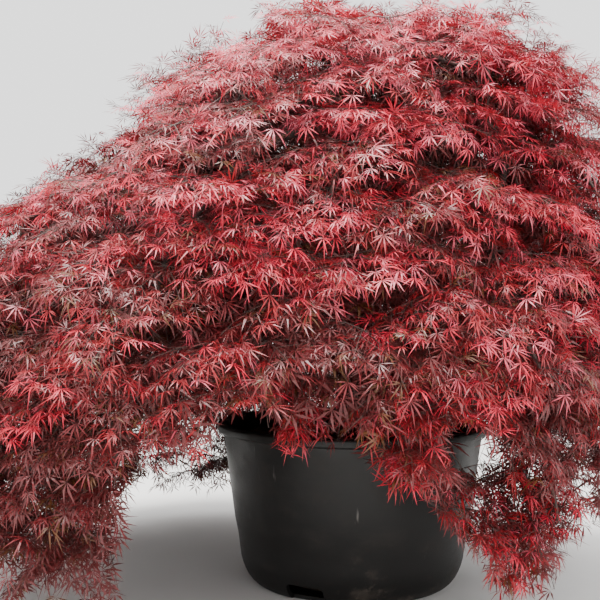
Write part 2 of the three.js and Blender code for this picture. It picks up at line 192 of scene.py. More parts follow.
def turned(profile, segments):
    """Points and faces of a closed shape that is turned about the Z axis from pole to pole."""
    points = [(0, 0, profile[0][1])]
    for radius, height in profile[1:-1]:
        for k in range(segments):
            angle = math.tau * k / segments
            points.append((radius * math.cos(angle), radius * math.sin(angle), height))
    points.append((0, 0, profile[-1][1]))
    return points, shell_faces(len(profile) - 2, segments)


wall_slope = (POT_TOP - POT_CORNER[0]) / (POT_HEIGHT - LIP_BAND - POT_CORNER[1])


def pot_wall(height):
    return POT_CORNER[0] + wall_slope * (height - POT_CORNER[1])


pot_profile = [
    (0.0, 0.0), (0.2, 0.0), (POT_FOOT - 0.004, 0.0), (POT_FOOT + 0.003, 0.0015), (0.3275, 0.006), (0.3385, 0.016),
    (0.3490, 0.030), (0.3575, 0.047), (0.3640, 0.064), (0.3687, 0.081), (0.3723, 0.105), (0.3755, 0.130),
    (0.3795, 0.160),
]
for height in (0.21, 0.28, 0.36, 0.42, 0.452, 0.470):
    pot_profile.append((pot_wall(height) + POT_WAVE * math.sin(height * 9), height))
# A shallow reveal under the lip, then the lip's rolled band and the inside.
pot_profile += [(pot_wall(0.476) - 0.0015, 0.476), (pot_wall(0.486) - 0.0015, 0.4885)]
pot_profile += arc((POT_LIP - 0.006, 0.4985), 0.006, -85, 0, 5)
pot_profile += arc((POT_LIP - 0.0085, 0.5115), 0.0085, 0, 90, 7)
pot_profile += arc((0.4285, 0.5155), 0.0045, 90, 180, 4)
pot_profile += [
    (pot_wall(0.44) - POT_WALL, 0.44), (pot_wall(0.2) - POT_WALL, 0.2), (0.3610, 0.125), (0.3510, 0.072),
    (0.3310, 0.030), (POT_FOOT - 0.0045, 0.012), (0.2, 0.010), (0, 0.010),
]
pot_mesh = mesh_from("nursery_pot", *turned(pot_profile, POT_SEGMENTS))

pot_skin = Finish("black_nursery_plastic")
dust = pot_skin.grain(9, 6, (1, 1, 1.6)).between(0.46, 0.72)
splash = pot_skin.grain(42, 5).between(0.52, 0.7)
position = pot_skin.node("ShaderNodeSeparateXYZ", {}, {"Vector": pot_skin.coordinates()}, 2)
low_down = 1 - position.between(0.0, 0.24)
scuffs = pot_skin.grain(26, 3, (1, 1, 0.16)).between(0.66, 0.74)
rub = pot_skin.grain(5, 2).between(0.5, 0.62) * scuffs
film = dust * (0.2 + 0.3 * low_down) + splash * low_down * 0.3
clean = pot_skin.blend(dust, (0.0066, 0.0060, 0.0055), (0.0135, 0.0115, 0.0102))
dusty = pot_skin.blend(film.between(0.1, 1.0), clean, (0.085, 0.068, 0.054))
pot_skin.set(
    Base_Color=pot_skin.blend(rub * 0.7, dusty, (0.17, 0.155, 0.145)),
    Roughness=0.42 + dust * 0.14 + low_down * 0.14 + rub * 0.2,
    Specular_IOR_Level=0.25,
)
peel = pot_skin.grain(420, 3) * 0.6 + pot_skin.grain(7, 2, (0.5, 0.5, 3)) * 1.2 + scuffs * 0.4
pot_skin.set(Normal=pot_skin.relief(peel, 0.0012, 0.5))

nursery_pot = new_object("nursery_pot", pot_mesh, pot_skin.material)
cutters = bmesh.new()
for index in range(DRAIN_COUNT):
    turn = DRAIN_START + index * math.tau / DRAIN_COUNT
    corners = bmesh.ops.create_cube(cutters, size=1)["verts"]
    edges = {e for v in corners for e in v.link_edges}
    bmesh.ops.scale(cutters, vec=DRAIN_SIZE, verts=corners)
    deep = [e for e in edges if abs(e.verts[0].co.x - e.verts[1].co.x) > 0.01]
    rounded = bmesh.ops.bevel(
        cutters, geom=deep, offset=DRAIN_ROUNDING, segments=4, profile=0.5, affect="EDGES")
    shape = {v for f in rounded["faces"] for v in f.verts}
    shape |= {o for v in shape for f in v.link_faces for o in f.verts}
    for v in shape:
        x, y = v.co.x + DRAIN_INSIDE + DRAIN_SIZE[0] / 2, v.co.y
        v.co.x = x * math.cos(turn) - y * math.sin(turn)
        v.co.y = x * math.sin(turn) + y * math.cos(turn)
cutter_mesh = bpy.data.meshes.new("drain_cutters")
cutters.to_mesh(cutter_mesh)
cutters.free()
cutter = new_object("drain_cutters", cutter_mesh, pot_skin.material)
cut = nursery_pot.modifiers.new("drains", "BOOLEAN")
cut.operation = "DIFFERENCE"
cut.object = cutter
cut.solver = "EXACT"
baked(nursery_pot, cut).data.set_sharp_from_angle(angle=CREASE_ANGLE)
bpy.data.objects.remove(cutter)
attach(nursery_pot, "root")
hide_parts("pot")

# POTTING MIX. Damp, dark bark mix that settles a little below the lip, with
# loose chips of bark lying over it.
SOIL_TOP = 0.474
SOIL_EDGE = 0.4168
SOIL_RINGS = 34
SOIL_SEGMENTS = 120
CHIP_SEED = 41
CHIP_FORMS = 6
CHIP_COUNT = 2600
CHIP_LENGTH = 0.026
WALL_GAP = 0.002


def soil_height(x, y):
    radius = math.hypot(x, y)
    settle = 0.014 * min(1.0, max(0.0, (radius / SOIL_EDGE - 0.55) / 0.45))
    lumps = 0.006 * noise.noise(Vector((x * 14, y * 14, 3))) + 0.003 * noise.noise(Vector((x * 45, y * 45, 7)))
    return SOIL_TOP - 0.003 - settle + lumps


soil_wall = [
    (0, 0.0112), (0.2400, 0.0112), (0.2500, 0.0640), (0.3360, 0.072), (0.3550, 0.125), (0.3800, 0.2),
    (SOIL_EDGE - 0.003, 0.446),
]
soil_top = [((SOIL_EDGE - WALL_GAP) * (1 - ring / SOIL_RINGS), 0) for ring in range(SOIL_RINGS)]
points, faces = turned(soil_wall + soil_top + [(0, 0)], SOIL_SEGMENTS)
first = 1 + (len(soil_wall) - 1) * SOIL_SEGMENTS
points[first:] = [(x, y, soil_height(x, y)) for x, y, _ in points[first:]]

soil_skin = Finish("damp_potting_mix")
crumbs = soil_skin.grain(160, 8)
clods = soil_skin.grain(24, 5)
soil_tones = [(0.3, (0.018, 0.011, 0.007)), (0.52, (0.055, 0.034, 0.021)), (0.75, (0.12, 0.078, 0.05))]
soil_skin.set(
    Base_Color=soil_skin.ramp(crumbs * 0.7 + clods * 0.3, soil_tones),
    Roughness=0.82 + crumbs * 0.15,
    Normal=soil_skin.relief(crumbs + clods, 0.006, 0.9),
)
potting_mix = new_object("potting_mix", mesh_from("potting_mix", points, faces), soil_skin.material)
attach(potting_mix, "root")
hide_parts("soil")


def attribute(mesh, name, kind, values):
    made = mesh.attributes.new(name, kind, "POINT")
    key = "vector" if kind == "FLOAT_VECTOR" else "value"
    made.data.foreach_set(key, np.ascontiguousarray(values).ravel())


def points_mesh(name, points):
    mesh = bpy.data.meshes.new(name)
    mesh.vertices.add(len(points))
    mesh.vertices.foreach_set("co", np.asarray(points, np.float32).ravel())
    return mesh


class Tree:
    """A node tree that turns geometry into plain meshes of one material, with one named number."""

    def __init__(self, name, number):
        self.group = bpy.data.node_groups.new(name, "GeometryNodeTree")
        self.group.interface.new_socket("Geometry", in_out="INPUT", socket_type="NodeSocketGeometry")
        socket = self.group.interface.new_socket(number, in_out="INPUT", socket_type="NodeSocketFloat")
        self.number, self.identifier = number, socket.identifier
        self.group.interface.new_socket("Geometry", in_out="OUTPUT", socket_type="NodeSocketGeometry")
        self.start = self.add("NodeGroupInput")

    def add(self, kind, **links):
        """A new node. Each link names an input, with _ for a space, and what feeds it."""
        made = self.group.nodes.new(kind)
        for key, value in links.items():
            socket = made.inputs[key.replace("_", " ")]
            if isinstance(value, bpy.types.NodeSocket):
                self.group.links.new(value, socket)
            else:
                socket.default_value = value
        return made

    def read(self, key, kind="FLOAT"):
        """The value called key of each point."""
        made = self.add("GeometryNodeInputNamedAttribute", Name=key)
        made.data_type = kind
        return made.outputs["Attribute"]

    def scaled(self, key):
        """The value called key of each point, times the tree's number."""
        made = self.group.nodes.new("ShaderNodeMath")
        made.operation = "MULTIPLY"
        self.group.links.new(self.read(key), made.inputs[0])
        self.group.links.new(self.start.outputs[self.number], made.inputs[1])
        return made.outputs[0]

    def end(self, geometry, material):
        real = self.add("GeometryNodeRealizeInstances", Geometry=geometry)
        paint = self.add("GeometryNodeSetMaterial", Geometry=real.outputs[0], Material=material)
        self.add("NodeGroupOutput", Geometry=paint.outputs[0])

    def grown(self, name, mesh, value):
        """An object with the plain mesh that the tree makes of the given one."""
        thing = new_object(name, mesh)
        modifier = thing.modifiers.new("nodes", "NODES")
        modifier.node_group = self.group
        modifier[self.identifier] = value
        return baked(thing, modifier)


def scattered(name, shapes, material, length, points, turns, sizes, forms):
    """One plain mesh of shapes set on points, each turned and sized by its point's own values."""
    cloud = points_mesh(name + "_points", points)
    attribute(cloud, "turn", "FLOAT_VECTOR", np.asarray(turns, np.float32))
    attribute(cloud, "size", "FLOAT", np.asarray(sizes, np.float32))
    attribute(cloud, "form", "INT", np.asarray(forms, np.int32))
    tree = Tree(name, "Length")
    parts = tree.add("GeometryNodeCollectionInfo", Collection=shapes, Separate_Children=True)
    place = tree.add(
        "GeometryNodeInstanceOnPoints", Points=tree.start.outputs["Geometry"], Instance=parts.outputs[0],
        Pick_Instance=True, Instance_Index=tree.read("form", "INT"), Rotation=tree.read("turn", "FLOAT_VECTOR"),
        Scale=tree.scaled("size"))
    tree.end(place.outputs[0], material)
    thing = tree.grown(name, cloud, length)
    for spare in [a.name for a in thing.data.attributes if a.name in ("turn", "size", "form")]:
        thing.data.attributes.remove(thing.data.attributes[spare])
    return thing


def shape_set(name, meshes):
    """A collection of hidden pattern shapes, named so that their order is their number."""
    shapes = bpy.data.collections.new(name)
    for number, mesh in enumerate(meshes):
        shapes.objects.link(bpy.data.objects.new(f"{name}_{number:02d}", mesh))
    return shapes


chip_random = np.random.default_rng(CHIP_SEED)
chip_meshes = []
for number in range(CHIP_FORMS):
    sides = 5 + number % 3
    swing = np.linspace(0, math.tau, sides, endpoint=False) + chip_random.uniform(-0.2, 0.2, sides)
    reach = chip_random.uniform(0.75, 1.0, sides)
    outline = np.stack([reach * np.cos(swing) * 0.5, reach * np.sin(swing) * 0.2], 1)
    low = [(x, y, -0.05) for x, y in outline]
    high = [(x * 0.9, y * 0.86, 0.045 + chip_random.uniform(-0.02, 0.03)) for x, y in outline]
    rim = [(k, (k + 1) % sides, sides + (k + 1) % sides, sides + k) for k in range(sides)]
    caps = [tuple(reversed(range(sides))), tuple(range(sides, 2 * sides))]
    chip_meshes.append(mesh_from(f"chip_{number}", low + high, rim + caps, smooth=False))

chip_skin = Finish("bark_chips")
shade = chip_skin.grain(34, 3)
fibre = chip_skin.grain(220, 5, (1, 1, 0.4))
chip_tones = [(0.32, (0.03, 0.018, 0.011)), (0.5, (0.10, 0.058, 0.034)), (0.7, (0.24, 0.16, 0.10))]
chip_skin.set(
    Base_Color=chip_skin.ramp(shade * 0.75 + fibre * 0.25, chip_tones),
    Roughness=0.8 + fibre * 0.15,
    Normal=chip_skin.relief(fibre, 0.0012, 0.7),
)
reach = np.sqrt(chip_random.uniform(0.02, 0.955, CHIP_COUNT)) * SOIL_EDGE
swing = chip_random.uniform(0, math.tau, CHIP_COUNT)
lifted = chip_random.uniform(-0.001, 0.004, CHIP_COUNT)
spots = zip(reach * np.cos(swing), reach * np.sin(swing), lifted)
spots = np.array([(x, y, soil_height(x, y) + up) for x, y, up in spots])
turns = np.stack([
    chip_random.normal(0, 0.3, CHIP_COUNT),
    chip_random.normal(0, 0.3, CHIP_COUNT),
    chip_random.uniform(0, math.tau, CHIP_COUNT),
], 1)
sizes = chip_random.uniform(0.35, 1.25, CHIP_COUNT)
away = np.hypot(spots[:, 0], spots[:, 1]) + 0.5 * sizes * CHIP_LENGTH < SOIL_EDGE - WALL_GAP
bark_chips = scattered(
    "bark_chips", shape_set("chip", chip_meshes), chip_skin.material, CHIP_LENGTH,
    spots[away], turns[away], sizes[away], chip_random.integers(0, CHIP_FORMS, CHIP_COUNT)[away])
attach(bark_chips, "root")

# TRUNK AND BOUGHS. Living wood with thin grey-brown bark: the trunk flares
# into its roots at the soil, and each bough leaves it with a swollen collar.
# They follow the same rule as the solids that they stand for.
GROWTH_SEED = 227
JOIN_GAP = 0.0003
TRUNK_TIP = 1.190
TRUNK_RADII = (0.063, 0.034)
TRUNK_FLARE = 0.62
TRUNK_FLARE_HEIGHT = 0.070
TRUNK_ROOTS = 5
TRUNK_LEAN = 0.026
TRUNK_SWAY = 0.020
CROWN_TOP = 1.915
CROWN_HEM = 0.720
CROWN_REACH = [1.040, 1.000, 1.010, 1.270, 1.560, 1.270, 0.930, 0.900]
CROWN_SHOULDER = [4.6, 3.2, 2.5, 2.0, 1.8, 2.0, 2.5, 3.6]
CROWN_TUCK = 0.16
CROWN_SAMPLES = 40
COMPASS_STEPS = 720
# Each tier's masses: how many or at which angles, how far down the crown, and where the first one is.
TIERS = [
    ("top", 3, 0.17, 0.25),
    ("upper", 6, 0.42, 0.05),
    ("middle", 6, 0.68, 0.55),
    ("skirt", 6, 0.94, 0.15),
    ("trail", [214, 309, 45, 131], 1.2, 0),
]
ENTRY_ABOVE = 0.13
ENTRY_SHARE = 0.42
ENTRY_DEPTH = 0.130
END_BELOW = 0.07
# Each tier's boughs: radius at the root and at the tip, where they leave their parent, and how steeply.
BOUGHS = {
    "middle": (0.027, 0.011, None, 0.75),
    "upper": (0.016, 0.010, 0.38, 1.6),
    "skirt": (0.014, 0.010, 0.78, 0.1),
    "trail": (0.014, 0.010, 0.56, -0.5),
    "top": (0.015, 0.010, 0.98, 0.9),
}
MAIN_RANKS = [0, 3, 6, 2, 5, 1]
BOUGH_APART = 0.11
BOUGH_WOBBLE = 0.03
LINE_SAMPLES = 200
EYE = np.array([-0.177, -3.32, 0.925])
FOCAL = 990
CROWN_HEART = np.array([0.0, 0.0, 0.7])
# The crown's upper edge against the sky, in pixels of the view from EYE, and how far inside it wood stays.
TOP_EDGE = [
    (-300, 330), (0, 196), (60, 170), (95, 150), (115, 132), (133, 116), (150, 88), (170, 74), (200, 66), (233, 52),
    (267, 34), (290, 14), (305, 8), (345, 18), (352, 24), (380, 18), (400, 16), (440, 22), (467, 30), (490, 24),
    (517, 24), (530, 36), (545, 47), (567, 54), (583, 66), (600, 75), (700, 190),
]
WOOD_MARGIN = 34


def random_source(seed):
    """The same run of numbers from 0 to 1 as the solids were grown with."""
    state = [seed]

    def draw():
        state[0] = (state[0] + 0x6D2B79F5) & 0xFFFFFFFF
        mixed = state[0]
        mixed = ((mixed ^ (mixed >> 15)) * (mixed | 1)) & 0xFFFFFFFF
        mixed ^= (mixed + (mixed ^ (mixed >> 7)) * (mixed | 61)) & 0xFFFFFFFF
        return (mixed ^ (mixed >> 14)) / 4294967296

    return draw


def travelled(points):
    """How far along a polyline each of its points is."""
    return np.concatenate([[0], np.cumsum(np.linalg.norm(np.diff(points, axis=0), axis=1))])


class Line:
    """A curve that is read by the share of its length."""

    def __init__(self, at):
        self.at = at
        samples = np.array([at(i / LINE_SAMPLES) for i in range(LINE_SAMPLES + 1)])
        self.lengths = travelled(samples)
        self.length = self.lengths[-1]

    def turn_of(self, share):
        return float(np.interp(share * self.length, self.lengths, np.linspace(0, 1, LINE_SAMPLES + 1)))

    def point(self, share):
        return self.at(self.turn_of(share))

    def way(self, share):
        turn = self.turn_of(share)
        ahead = self.at(min(1, turn + 1e-4)) - self.at(max(0, turn - 1e-4))
        return ahead / np.linalg.norm(ahead)


def bezier_line(a, b, c, d):
    return Line(lambda t: (1 - t) ** 3 * a + 3 * (1 - t) ** 2 * t * b + 3 * (1 - t) * t * t * c + t ** 3 * d)


def through_line(points):
    """A smooth curve through the points, with a centripetal pace."""
    points = [np.array(p, float) for p in points]
    count = len(points)

    def at(t):
        position = (count - 1) * t
        i = min(int(position), count - 2)
        share = position - i
        p1, p2 = points[i], points[i + 1]
        p0 = points[i - 1] if i > 0 else 2 * p1 - p2
        p3 = points[i + 2] if i + 2 < count else 2 * p2 - p1
        d0, d1, d2 = (max(np.linalg.norm(b - a), 1e-9) ** 0.5 for a, b in ((p0, p1), (p1, p2), (p2, p3)))
        t1 = ((p1 - p0) / d0 - (p2 - p0) / (d0 + d1) + (p2 - p1) / d1) * d1
        t2 = ((p2 - p1) / d1 - (p3 - p1) / (d1 + d2) + (p3 - p2) / d2) * d1
        square = -3 * p1 + 3 * p2 - 2 * t1 - t2
        cube = 2 * p1 - 2 * p2 + t1 + t2
        return p1 + t1 * share + square * share ** 2 + cube * share ** 3

    return Line(at)


def unit(vector):
    return vector / np.linalg.norm(vector, axis=-1, keepdims=True)


def round_compass(values, angle):
    turn = (angle / (math.tau) * len(values) + len(values) * 4) % len(values)
    before = int(turn)
    share = 0.5 - 0.5 * math.cos((turn - before) * math.pi)
    return values[before] + share * (values[(before + 1) % len(values)] - values[before])


outlines = {}


def crown_outline(angle):
    key = int(angle / (math.tau) * COMPASS_STEPS + COMPASS_STEPS + 0.5) % COMPASS_STEPS
    if key not in outlines:
        reach = round_compass(CROWN_REACH, angle)
        shoulder = round_compass(CROWN_SHOULDER, angle)
        share = np.sin(np.linspace(0, math.pi / 2, CROWN_SAMPLES + 1))
        height = CROWN_HEM + (CROWN_TOP - CROWN_HEM) * (1 - share ** shoulder)
        line = np.stack([share * reach, height], 1)
        foot = np.array([[reach - CROWN_TUCK * CROWN_HEM, 0.0]])
        length = np.linalg.norm(np.diff(line, axis=0), axis=1).sum()
        line = np.concatenate([line, foot])
        outlines[key] = (line, travelled(line), length)
    return outlines[key]


def crown_point(angle, place):
    line, run, length = crown_outline(angle)
    radius = np.interp(place * length, run, line[:, 0])
    height = np.interp(place * length, run, line[:, 1])
    return np.array([radius * math.cos(angle), radius * math.sin(angle), height])


def crown_frame(angle, place):
    """The ways down and out of the crown's skin."""
    down = unit(crown_point(angle, place + 0.01) - crown_point(angle, place - 0.01))
    along = np.array([-math.sin(angle), math.cos(angle), 0.0])
    out = unit(-np.cross(along, down))
    if out @ np.array([math.cos(angle), math.sin(angle), 1]) < 0:
        out = -out
    return down, out


def even_angles(count, place, turn):
    samples = 144
    ring = [crown_point(i / samples * math.tau, place) for i in range(samples + 1)]
    run = travelled(ring)
    wanted = [(i + turn) / count * run[-1] for i in range(count)]
    return [int(np.argmax(run >= w)) / samples * math.tau for w in wanted]


class Mass:
    """Where one mass of foliage lies, and where its bough comes in."""

    def __init__(self, tier, number, angle, place):
        self.tier = tier
        self.name = f"{tier}_{number}"
        self.angle = angle
        self.centre = crown_point(angle, place)
        self.down = crown_frame(angle, place)[0]
        above = place - min(ENTRY_ABOVE, ENTRY_SHARE * place)
        self.entry = crown_point(angle, above) - ENTRY_DEPTH * crown_frame(angle, above)[1]
        self.end = crown_point(angle, place + END_BELOW)


masses = []
for tier, count, place, turn in TIERS:
    angles = even_angles(count, place, turn) if isinstance(count, int) else [math.radians(a) for a in count]
    masses += [Mass(tier, i + 1, angle, place) for i, angle in enumerate(angles)]


def trunk_centre(share):
    x = -TRUNK_LEAN * share + TRUNK_SWAY * math.sin(share * math.tau * 0.85)
    y = 0.7 * TRUNK_SWAY * math.sin(share * math.tau * 1.15) * share
    foot = SOIL_TOP + JOIN_GAP
    return (x, y, foot + share * (TRUNK_TIP - foot))


trunk_line = through_line([trunk_centre(i / 8) for i in range(9)])
grow = random_source(GROWTH_SEED)


def grow_bough(mass, parent, share):
    """A crooked bough from a place on the parent to where its mass begins."""
    start = parent.point(share)
    reach = np.linalg.norm(mass.entry - start)
    way = unit(np.array([math.cos(mass.angle), math.sin(mass.angle), BOUGHS[mass.tier][3]]))
    smooth = bezier_line(start, start + 0.4 * reach * way, mass.entry - 0.35 * reach * mass.down, mass.entry)
    points = []
    for i in range(7):
        crook = BOUGH_WOBBLE * reach if 1 < i < 5 else 0
        draw = np.array([grow() - 0.5, grow() - 0.5, grow() - 0.5])
        points.append(smooth.point(i / 6) + draw * crook)
    mass.bough = through_line(points)


def angle_gap(a, b):
    return abs(math.atan2(math.sin(a - b), math.cos(a - b)))


def of_tier(name):
    return [mass for mass in masses if mass.tier == name]


mains = of_tier("middle")
for mass, rank in zip(mains, MAIN_RANKS):
    grow_bough(mass, trunk_line, 0.5 + 0.36 * rank / (len(mains) - 1))
for kind in ("upper", "skirt", "trail", "top"):
    taken = []
    for mass in of_tier(kind):
        nearest = min(mains, key=lambda main: angle_gap(main.angle, mass.angle))
        parent = trunk_line if kind == "top" else nearest.bough
        grow_bough(mass, parent, BOUGHS[kind][2] - taken.count(parent) * BOUGH_APART)
        taken.append(parent)


def wood_tube(line, radius_at, rings, sides, relief, seed, start=0.0):
    """Points and faces of a closed limb, its skin raised and creased along the grain."""
    side = None
    points = [line.point(start)]
    for share in np.linspace(start, 1, rings):
        centre, way = line.point(share), line.way(share)
        if side is None:
            side = unit(np.cross(way, [0.31, 0.9, 0.22]))
        side = unit(side - way * (side @ way))
        other = np.cross(way, side)
        for k in range(sides):
            angle = math.tau * k / sides
            cos, sin = math.cos(angle), math.sin(angle)
            skin = Vector((cos * 2.2, sin * 2.2, share * line.length * 11 + seed))
            crease = noise.noise(Vector((skin.x * 2.6, skin.y * 2.6, skin.z * 0.9)))
            swell = noise.noise(Vector((skin.x * 0.5, skin.y * 0.5, skin.z * 1.6)))
            radius = radius_at(share, angle) * (1 + relief * (0.55 * swell - 0.45 * abs(crease)))
            points.append(centre + radius * (cos * side + sin * other))
    points.append(line.point(1) + line.way(1) * radius_at(1, 0) * 0.6)
    return points, shell_faces(rings, sides)


def trunk_radius(share, angle):
    height = share * (TRUNK_TIP - SOIL_TOP)
    flare = TRUNK_FLARE * math.exp(-height / TRUNK_FLARE_HEIGHT)
    ridges = 0.65 + 0.35 * math.cos(TRUNK_ROOTS * angle)
    body = TRUNK_RADII[0] + share * (TRUNK_RADII[1] - TRUNK_RADII[0])
    return body * (1 + flare * ridges) * (1 - 0.25 * max(0.0, (share - 0.97) / 0.03))


def seen_at(points):
    """Where points show from EYE, in pixels of a 600 by 600 view."""
    ahead = points[..., 1] - EYE[1]
    across = 300 + (points[..., 0] - EYE[0]) / ahead * FOCAL
    return across, 300 - (points[..., 2] - EYE[2]) / ahead * FOCAL


def settled(points, margin, out=None):
    """Points moved into the crown until they show the margin's pixels or more under its upper edge."""
    out = unit(points - CROWN_HEART) if out is None else out
    across, below = seen_at(points)
    over = np.maximum(0, np.interp(across, *zip(*TOP_EDGE)) + margin - below)
    shift = over * (points[..., 1] - EYE[1]) / FOCAL / np.maximum(0.55, out[..., 2])
    return points - out * shift[..., None]


bark_skin = Finish("maple_bark")
blotch = bark_skin.grain(18, 4)
ridge = bark_skin.grain(70, 6, (1, 1, 0.22), 0.65)
fleck = bark_skin.grain(260, 3).between(0.6, 0.72)
lichen = bark_skin.grain(30, 5).between(0.62, 0.7)
bark_tones = [(0.3, (0.014, 0.010, 0.008)), (0.5, (0.032, 0.022, 0.018)), (0.72, (0.07, 0.052, 0.044))]
wood_colour = bark_skin.ramp(ridge * 0.6 + blotch * 0.4, bark_tones)
bark_skin.set(
    Base_Color=bark_skin.blend(lichen * 0.35 + fleck * 0.2, wood_colour, (0.095, 0.09, 0.07)),
    Roughness=0.78 + ridge * 0.2,
    Normal=bark_skin.relief(ridge + 0.4 * blotch, 0.004, 0.8),
)

trunk_points, trunk_faces = wood_tube(trunk_line, trunk_radius, 90, 48, 0.10, 5)
foot = SOIL_TOP - 0.012
trunk_points = [np.array([p[0], p[1], foot]) if p[2] < SOIL_TOP + 0.004 else p for p in trunk_points]
trunk = new_object("trunk_wood", mesh_from("trunk", trunk_points, trunk_faces), bark_skin.material)
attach(trunk, "root")
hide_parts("trunk")

bough_points, bough_faces = [], []
for number, mass in enumerate(masses):
    base, tip = BOUGHS[mass.tier][:2]

    def bough_radius(share, angle, base=base, tip=tip, length=mass.bough.length):
        collar = 1 + 0.45 * math.exp(-share * length / (1.6 * base))
        return (base + (tip - base) * share ** 0.8) * collar

    rings = max(24, int(mass.bough.length / 0.022))
    tube_points, tube_faces = wood_tube(mass.bough, bough_radius, rings, 14, 0.14, 31 + 7 * number, 0.006)
    offset = len(bough_points)
    bough_points += tube_points
    bough_faces += [tuple(i + offset for i in face) for face in tube_faces]
bough_points = settled(np.array(bough_points), WOOD_MARGIN)
boughs = new_object("boughs", mesh_from("boughs", bough_points.tolist(), bough_faces), bark_skin.material)
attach(boughs, "root")
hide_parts(*[f"bough_{mass.name}" for mass in masses])

# TWIGS. Thin, whippy wood that goes on from each bough's tip: a stem through
# the mass, a twig to each fan's hub, drooping ribs from there, and side shoots.
TWIG_SEED = 19
FAN_LENGTH = {"outer": 0.200, "inner": 0.260}
FAN_SPACING = 0.158
FAN_CROWDING = 0.8
FAN_MARGIN = 7
OUTER_TRIES = 30000
INNER_TRIES = 7000
INNER_LAYERS = [(0.185, 0.14), (0.27, 0.30)]
STEM_TIP = 0.005
TWIG_RADII = (0.0040, 0.0020)
RIB_RADII = (0.0019, 0.0008)
SHOOT_RADII = (0.0010, 0.0005)
SHOOTS = ((0.32, 0.52), (0.62, 0.40))
UP = np.array([0.0, 0.0, 1.0])
TRAIL_WIDTH = math.radians(34)
TRAIL_END = 1.42
HEM_END = 0.99
FAR_HEM_END = 1.05
LOWEST_SPOT = 0.17
LOWEST_RIB = 0.1
HIGHEST_RIB = 1.97
# Painted light for outer fans and painted shade for inner fans, added to each fan's tone.
OUTER_PAINTED_LIGHT = 0.25
INNER_PAINTED_SHADE = -1.7
SPRIG_TONE = 0.3
# The hem's lower edge over the pot, in pixels of the view from EYE. It counts nearer than HEM_DEPTH and within
# HEM_SPAN of the middle. FAR_WINDOW opens the far hem at the left: middle, half width, top edge and depth.
HEM_EDGE = [
    (0, 640), (118, 640), (134, 560), (146, 504), (188, 482), (214, 472), (224, 412), (262, 414), (269, 436),
    (275, 466), (297, 479), (325, 466), (332, 446), (345, 442), (352, 430), (367, 468), (387, 506), (433, 502),
    (439, 532), (462, 543), (478, 556), (487, 588), (492, 606), (548, 610), (566, 590), (574, 552), (584, 532),
    (600, 520),
]
HEM_DEPTH = 0.45
HEM_SPAN = 330
FAR_WINDOW = (182, 50, 482, 0.8)
# Small openings: middle and half sizes, in the same pixels. First sky, then ground past the pot.
GAPS = [
    (316, 58, 9, 5), (490, 148, 6, 8), (528, 160, 11, 4), (469, 447, 18, 23), (505, 455, 8, 6), (536, 470, 9, 6),
    (560, 441, 7, 6), (590, 486, 9, 8), (520, 492, 7, 5), (576, 461, 6, 5), (186, 426, 7, 5), (205, 441, 8, 5),
    (150, 457, 7, 5), (196, 456, 6, 4), (139, 431, 5, 4), (216, 428, 5, 4),
]
# Where lone sprigs end, in pixels and metres back: clear of the crown's top, then hanging from its hem.
SPRIGS = [
    (222, 22, 0.0), (210, 38, -0.1), (143, 72, 0.1), (158, 60, 0.0), (186, 54, 0.0), (128, 102, 0), (318, 4, 0.0),
    (360, 10, 0.1), (385, 6, 0.0), (425, 10, 0.1), (450, 16, 0), (506, 10, 0.1), (560, 42, 0), (592, 62, 0.1),
    (279, 440, -0.8), (294, 458, -0.82), (288, 448, -0.78), (302, 446, -0.8), (366, 450, -0.86), (384, 468, -0.88),
    (392, 490, -0.9), (408, 478, -0.9), (424, 490, -0.88), (440, 470, -0.86), (446, 448, -0.84), (418, 460, -0.87),
    (400, 446, -0.9), (452, 508, -0.74), (466, 524, -0.76), (447, 486, -0.75), (500, 560, -0.8), (520, 578, -0.82),
    (505, 588, -0.8), (536, 598, -0.8), (548, 574, -0.82), (491, 545, -0.78), (515, 547, -0.8), (541, 552, -0.8),
    (556, 588, -0.78), (510, 500, -0.6), (530, 508, -0.6), (548, 498, -0.6), (500, 520, -0.7), (560, 540, -0.7),
    (525, 530, -0.7), (580, 518, -0.7), (572, 528, -0.72), (588, 508, -0.65), (150, 478, -0.5), (168, 474, -0.4),
    (186, 466, -0.4), (204, 462, -0.3), (138, 500, -0.6), (262, 400, -0.6), (281, 404, -0.55), (300, 402, -0.62),
    (318, 406, -0.6), (335, 402, -0.62), (250, 396, -0.5), (326, 396, -0.5), (290, 396, -0.45),
]

draw = np.random.default_rng(TWIG_SEED)


def in_the_open(points):
    """True for points in one of the openings, or under the hem's edge."""
    across, below = seen_at(points)
    edge = np.interp(across, *zip(*HEM_EDGE))
    found = (below > edge) & (points[..., 1] < HEM_DEPTH) & (np.abs(across - 300) < HEM_SPAN)
    middle, half_width, top, depth = FAR_WINDOW
    found |= (below > top) & (np.abs(across - middle) < half_width) & (points[..., 1] < depth)
    for x, y, half_width, half_height in GAPS:
        found |= ((across - x) / half_width) ** 2 + ((below - y) / half_height) ** 2 < 1
    return found


def quadratic(start, bend, end, shares):
    """Points on many curves at once: (curves, shares, 3)."""
    t = np.asarray(shares)[None, :, None]
    return (1 - t) ** 2 * start[:, None] + 2 * (1 - t) * t * bend[:, None] + t ** 2 * end[:, None]


def quadratic_way(start, bend, end, shares):
    t = np.asarray(shares)[None, :, None]
    return unit(2 * (1 - t) * (bend - start)[:, None] + 2 * t * (end - bend)[:, None])


